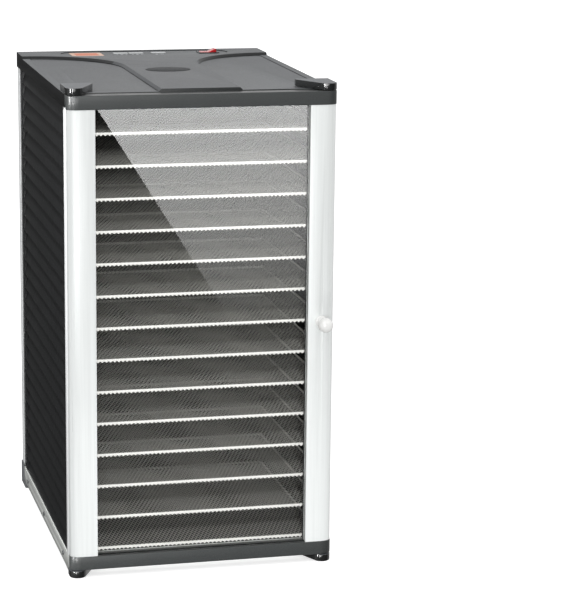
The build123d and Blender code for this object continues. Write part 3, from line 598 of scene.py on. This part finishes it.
knob_low, knob_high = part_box("door_knob")
knob_base = Vector(((knob_low.x + knob_high.x) / 2, knob_high.y, (knob_low.z + knob_high.z) / 2))
knob_profile = knob_outline((knob_high.x - knob_low.x) / 2, knob_high.y - knob_low.y)
knob = lathe("door_knob_turned", knob_profile, 64, knob_base, "knob_plastic")
settle(knob, "door_knob", replaces=("door_knob",))


# ---------------------------------------------------------------- generic marks by the keys
def rectangle(x, y, half_x, half_y):
    return [(x + a * half_x, y + b * half_y) for a, b in ((-1, -1), (1, -1), (1, 1), (-1, 1))]


def disc(x, y, radius, steps=16):
    turns = [2 * math.pi * step / steps for step in range(steps)]
    return [(x + radius * math.cos(turn), y + radius * math.sin(turn)) for turn in turns]


def printed(name, outlines, height, thickness, node):
    """Thin raised shapes on a panel, each an outline of (x, y) points."""
    work = bmesh.new()
    for outline in outlines:
        lower = [(x, y, height) for x, y in outline]
        upper = [(x, y, height + thickness) for x, y in outline]
        prism(work, lower, upper)
    settle(add_object(name, mesh_from(work, name, "print_white")), node)


def key_marks():
    """A triangle each way for the two setting keys, a dot and a bar for the start key."""
    row_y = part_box("key_down")[0].y - 6.5 * MM
    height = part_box("display_window")[1].z + 0.02 * MM
    half_base, base_drop, point_rise = 2.6 * MM, 1.8 * MM, 2.2 * MM
    square_offset, square_half = 7.5 * MM, 1.1 * MM
    outlines = []
    for node, tip in (("key_down", -1), ("key_up", 1)):
        low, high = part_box(node)
        middle = (low.x + high.x) / 2
        base_y = row_y - tip * base_drop
        outlines.append([
            (middle - half_base, base_y), (middle + half_base, base_y), (middle, row_y + tip * point_rise)])
        for offset in (-square_offset, square_offset):
            outlines.append(rectangle(middle + offset, row_y, square_half, square_half))
    low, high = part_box("key_start")
    middle = (low.x + high.x) / 2
    outlines.append(disc(middle - 5 * MM, row_y, 2 * MM))
    outlines.append(rectangle(middle + 4 * MM, row_y, 3 * MM, 0.8 * MM))
    printed("key_marks", outlines, height, 0.12 * MM, "top_cover")


key_marks()


# ---------------------------------------------------------------- screws with cross recesses
def islands(mesh):
    """Groups of vertices that share edges."""
    work = bmesh.new()
    work.from_mesh(mesh)
    seen, groups = set(), []
    for vertex in work.verts:
        if vertex.index in seen:
            continue
        stack, group = [vertex], []
        seen.add(vertex.index)
        while stack:
            current = stack.pop()
            group.append(current.co.copy())
            for edge in current.link_edges:
                other = edge.other_vert(current)
                if other.index not in seen:
                    seen.add(other.index)
                    stack.append(other)
        groups.append(group)
    work.free()
    return groups


RECESS_HALF_LENGTH = 2.1 * MM
RECESS_HALF_WIDTH = 0.42 * MM
RECESS_DEPTH = 1.1 * MM
CUTTER_PROUD = 0.6 * MM
HEAD_BAND = 1.2 * MM


def recess_cutter(group):
    """Corners of the two bars that cut a cross into the wider end of one screw."""
    lows = [min(point[axis] for point in group) for axis in range(3)]
    highs = [max(point[axis] for point in group) for axis in range(3)]
    spans = [high - low for low, high in zip(lows, highs)]
    axis = spans.index(max(spans))
    first, second = [other for other in range(3) if other != axis]
    centre = [(low + high) / 2 for low, high in zip(lows, highs)]

    def spread(end):
        close = [point for point in group if abs(point[axis] - end) < HEAD_BAND]
        return max(abs(point[first] - centre[first]) for point in close)

    head = highs[axis] if spread(highs[axis]) > spread(lows[axis]) else lows[axis]
    inward = 1 if head == lows[axis] else -1
    boxes = []
    for long_axis, thin_axis in ((first, second), (second, first)):
        corners = []
        for a in (-1, 1):
            for b in (-1, 1):
                for depth in (-CUTTER_PROUD, RECESS_DEPTH):
                    point = [0.0, 0.0, 0.0]
                    point[axis] = head + inward * depth
                    point[long_axis] = centre[long_axis] + a * RECESS_HALF_LENGTH
                    point[thin_axis] = centre[thin_axis] + b * RECESS_HALF_WIDTH
                    corners.append(tuple(point))
        boxes.append(corners)
    return boxes


def recessed(node):
    """Screws of one node, with a cross cut in every head."""
    mesh = frame["nodes"][node].data.copy()
    work = bmesh.new()
    work.from_mesh(mesh)
    bmesh.ops.remove_doubles(work, verts=work.verts, dist=WELD_DISTANCE)
    work.to_mesh(mesh)
    work.free()
    cut = bmesh.new()
    for group in islands(mesh):
        for corners in recess_cutter(group):
            points = [cut.verts.new(corner) for corner in corners]
            bmesh.ops.convex_hull(cut, input=points)
    cut_mesh = bpy.data.meshes.new(node + "_cut")
    cut.to_mesh(cut_mesh)
    cut.free()
    cutter = add_object(node + "_cut", cut_mesh)
    piece = add_object(node + "_shell", mesh)
    boolean = piece.modifiers.new("recess", "BOOLEAN")
    boolean.operation = "DIFFERENCE"
    boolean.solver = "EXACT"
    boolean.use_self = True
    boolean.object = cutter
    result = applied(piece)
    bpy.data.objects.remove(cutter)
    smooth_by_angle(result, 30)
    result.materials.clear()
    result.materials.append(MATERIALS["zinc_steel"])
    settle(piece, node, replaces=(node,))


recessed("cabinet_screws")
recessed("bracket_screws")


# ---------------------------------------------------------------- louvres of the rear panel
def louvres():
    """A slanting blade in every air slot round the fan."""
    rear_low, rear_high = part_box("rear_panel")
    motor_low, motor_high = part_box("fan_motor")
    middle = (motor_low.z + motor_high.z) / 2
    inner, outer = rear_low.y + 0.2 * MM, rear_high.y - 0.2 * MM
    sheet, bend_rise = 0.5 * MM, 0.8 * MM
    row_pitch, column_pitch = 15 * MM, 62 * MM
    half_height, half_length = 2.8 * MM, 26.7 * MM
    work = bmesh.new()
    for row in range(-6, 7):
        low_z, high_z = middle + row * row_pitch - half_height, middle + row * row_pitch + half_height
        bend = low_z + bend_rise
        profile = [
            (inner, low_z), (outer, bend), (outer, high_z), (outer - sheet, high_z),
            (outer - sheet, bend + sheet), (inner, low_z + sheet)]
        for column in (-1, 0, 1):
            left, right = column * column_pitch - half_length, column * column_pitch + half_length
            prism(work, [(left, y, z) for y, z in profile], [(right, y, z) for y, z in profile])
    settle(add_object("rear_louvres", mesh_from(work, "rear_louvres", "grey_panel")), "rear_panel")


louvres()


# ---------------------------------------------------------------- stage
WHITE = (1, 1, 1, 1)


def grey(value):
    return (value, value, value, 1)


def paper_floor():
    """Wide sheet of white paper, lit a little from within so that it stays pale."""
    mesh = bpy.data.meshes.new("floor")
    work = bmesh.new()
    bmesh.ops.create_grid(work, x_segments=2, y_segments=2, size=30)
    work.to_mesh(mesh)
    work.free()
    tree = material_tree("floor_paper")
    colour = tree.blend(tree.ranged(tree.noise(3, 2.0), 0, 1), grey(0.9), grey(0.92))
    shader = tree.add("ShaderNodeBsdfPrincipled", Base_Color=colour, Roughness=0.9)
    tree.set(shader, "Specular IOR Level", 0.1)
    tree.set(shader, "Emission Color", WHITE)
    tree.set(shader, "Emission Strength", 0.6)
    mesh.materials.append(tree.finish(shader.outputs[0]))
    floor = add_object("floor", mesh)
    floor.visible_glossy = False
    floor.visible_diffuse = False


paper_floor()


# ---------------------------------------------------------------- camera
CAMERA_PLACE = Vector((-0.71436, -3.55686, 1.16236))
CAMERA_YAW, CAMERA_PITCH, CAMERA_ROLL = 0.2474, 0.2166, 0.0115
CAMERA_LENS = 142.06


def studio_camera():
    """Camera that looks along its yaw and pitch, then rolls about its own axis."""
    level = math.cos(CAMERA_PITCH)
    forward = Vector((math.sin(CAMERA_YAW) * level, math.cos(CAMERA_YAW) * level, -math.sin(CAMERA_PITCH)))
    level_right = Vector((math.cos(CAMERA_YAW), -math.sin(CAMERA_YAW), 0))
    level_up = level_right.cross(forward)
    right = level_right * math.cos(CAMERA_ROLL) + level_up * math.sin(CAMERA_ROLL)
    up = level_up * math.cos(CAMERA_ROLL) - level_right * math.sin(CAMERA_ROLL)
    data = bpy.data.cameras.new("camera")
    data.sensor_width = 36
    data.sensor_fit = "AUTO"
    data.lens = CAMERA_LENS
    data.clip_end = 100
    camera = add_object("camera", data)
    rows = [(right[axis], up[axis], -forward[axis], CAMERA_PLACE[axis]) for axis in range(3)]
    camera.matrix_world = Matrix(rows + [(0, 0, 0, 1)])
    return camera


bpy.context.scene.camera = studio_camera()


# ---------------------------------------------------------------- lights
def studio_world():
    """White for the camera, soft greys for the light, and dark flags seen only by glossy rays."""
    tree = Tree(bpy.data.worlds.new("studio"), "ShaderNodeOutputWorld")
    x, y, z = tree.add("ShaderNodeSeparateXYZ", Vector=tree.coords.outputs["Generated"]).outputs
    ramp = tree.nodes.new("ShaderNodeValToRGB")
    tree.set(ramp, 0, tree.ranged(z, 0, 1, -1, 1))
    for stop, position, colour in zip(ramp.color_ramp.elements, (0.40, 0.62), (grey(0.5), grey(0.85))):
        stop.position = position
        stop.color = colour
    ray = tree.nodes.new("ShaderNodeLightPath").outputs
    open_sky = tree.blend(ray["Is Camera Ray"], ramp.outputs[0], WHITE)
    rear_flag = tree.calculate("MULTIPLY", tree.ranged(x, 0, 1, 0.0, -0.08), tree.ranged(y, 0, 1, 0.1, 0.4))
    rear_flag = tree.calculate("MULTIPLY", rear_flag, tree.ranged(z, 0, 1, 0.12, 0.0))
    front_flag = tree.calculate("MULTIPLY", tree.ranged(y, 0, 1, 0.0, -0.3), tree.ranged(z, 0, 1, 0.5, 0.1))
    flags = tree.calculate("MAXIMUM", rear_flag, front_flag)
    flags = tree.calculate("MULTIPLY", flags, ray["Is Glossy Ray"])
    sky = tree.blend(flags, open_sky, grey(0.04))
    background = tree.add("ShaderNodeBackground", Color=sky, Strength=1.0)
    return tree.finish(background.outputs[0])


bpy.context.scene.world = studio_world()


def softbox(name, place, target, width, height, watts):
    """Rectangular light at a place, turned to a target."""
    data = bpy.data.lights.new(name, "AREA")
    data.shape = "RECTANGLE"
    data.size = width
    data.size_y = height
    data.energy = watts
    lamp = add_object(name, data)
    lamp.location = place
    lamp.rotation_mode = "QUATERNION"
    lamp.rotation_quaternion = (Vector(target) - Vector(place)).to_track_quat("-Z", "Y")
    return lamp


def light_group(name, lamps, pieces, link_state="INCLUDE"):
    """Lights only the given pieces, or all but them where link_state is EXCLUDE."""
    group = bpy.data.collections.new(name)
    for piece in pieces:
        group.objects.link(piece)
    for member in group.collection_objects:
        member.light_linking.link_state = link_state
    for lamp in lamps:
        lamp.light_linking.receiver_collection = group


def shells(*nodes):
    return [bpy.data.objects[node + "_shell"] for node in nodes]


MIDDLE = (0, 0, 0.36)
key = softbox("key", (-1.6, -2.6, 2.6), (0, 0, 0.35), 1.2, 1.2, watts=14)
front_fill = softbox("front_fill", (-1.0, -4.0, 0.6), MIDDLE, 2.4, 1.4, watts=48)
softbox("top_back", (0.2, 1.4, 2.4), (0, 0.1, 0.5), 1.6, 1.0, watts=12)
strip_left = softbox("strip_left", (-2.6, -1.7, 0.6), (-0.2, -0.2, 0.5), 0.22, 1.6, watts=130)
strip_near = softbox("strip_near", (-1.7, -2.85, 0.5), (0.2, -0.2, 0.5), 0.16, 1.6, watts=50)
tray_light = softbox("tray_light", (-1.0, -6.0, 3.5), MIDDLE, 0.8, 0.8, watts=330)
side_light = softbox("side_light", (-0.85, -0.4, 2.8), (-0.2, 0, 0.36), 0.3, 0.3, watts=90)
stile_light = softbox("stile_light", (0, -0.6, 0.04), (0, -0.28, 0.05), 0.4, 0.05, watts=0.7)
stile_light.visible_camera = False
stile_light.visible_glossy = False

glass = frame["nodes"]["door_glass"]
tray_pieces = [bpy.data.objects[tray_node + "_wire"] for tray_node in TRAYS]
corners = ("upper_left", "upper_right", "lower_left", "lower_right")
brackets = ["hinge_bracket_" + corner for corner in corners]
light_group("all_but_glass_and_trays", (key, front_fill), [glass] + tray_pieces, "EXCLUDE")
light_group(
    "rails_and_brackets", (strip_left, strip_near), shells("door_rail_top", "door_rail_bottom", *brackets))
light_group(
    "left_side", (side_light,),
    shells("side_panel_left", "side_panel_right", "front_post_left", "base_rail_left"))
light_group("stiles_only", (stile_light,), shells("door_stile_left", "door_stile_right"))
light_group("trays_only", (tray_light,), tray_pieces)


# ---------------------------------------------------------------- window light mirrored in the glass
CARD_DISTANCE = 0.95
CARD_FOOT_SHARE = 0.5
CARD_FOOT_START = 0.66
CARD_FADE_POWER = 1.3
CARD_STRENGTH = 7.0


def mirrored(x, z, card_y):
    """Where a card at card_y is seen mirrored at a point of the glass front."""
    glass_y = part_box("door_glass")[0].y
    eye = Vector((CAMERA_PLACE.x, 2 * glass_y - CAMERA_PLACE.y, CAMERA_PLACE.z))
    ahead = Vector((x, glass_y, z)) - eye
    return eye + ahead * ((card_y - eye.y) / ahead.y)


def window_card():
    """Slanting light card that only the glass sees, strongest at its top."""
    low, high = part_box("door_glass")
    card_y = low.y - CARD_DISTANCE
    top, far_right = high.z + 10 * MM, high.x + 20 * MM
    foot = low.z + CARD_FOOT_SHARE * (high.z - low.z)
    foot_left = low.x + CARD_FOOT_START * (high.x - low.x)
    outline = [(low.x + 2 * MM, top), (far_right, top), (far_right, foot), (foot_left, foot)]
    corners = [mirrored(x, z, card_y) for x, z in outline]
    mesh = bpy.data.meshes.new("window_card")
    mesh.from_pydata([tuple(corner) for corner in corners], [], [(0, 1, 2, 3)])
    card = add_object("window_card", mesh)
    tree = material_tree("window_glow")
    place = tree.add("ShaderNodeSeparateXYZ", Vector=tree.coords.outputs["Object"])
    heights = [corner.z for corner in corners]
    fade = tree.ranged(place.outputs[2], 0, 1, min(heights), max(heights))
    shaped = tree.calculate("POWER", fade, CARD_FADE_POWER)
    glow = tree.add("ShaderNodeEmission", Strength=tree.ranged(shaped, 0, CARD_STRENGTH, 0, 1))
    mesh.materials.append(tree.finish(glow.outputs[0]))
    for ray_kind in ("visible_camera", "visible_diffuse", "visible_shadow", "visible_transmission"):
        setattr(card, ray_kind, False)
    light_group("glass_only", (card,), [glass])


window_card()
bpy.context.scene.view_settings.view_transform = "Standard"
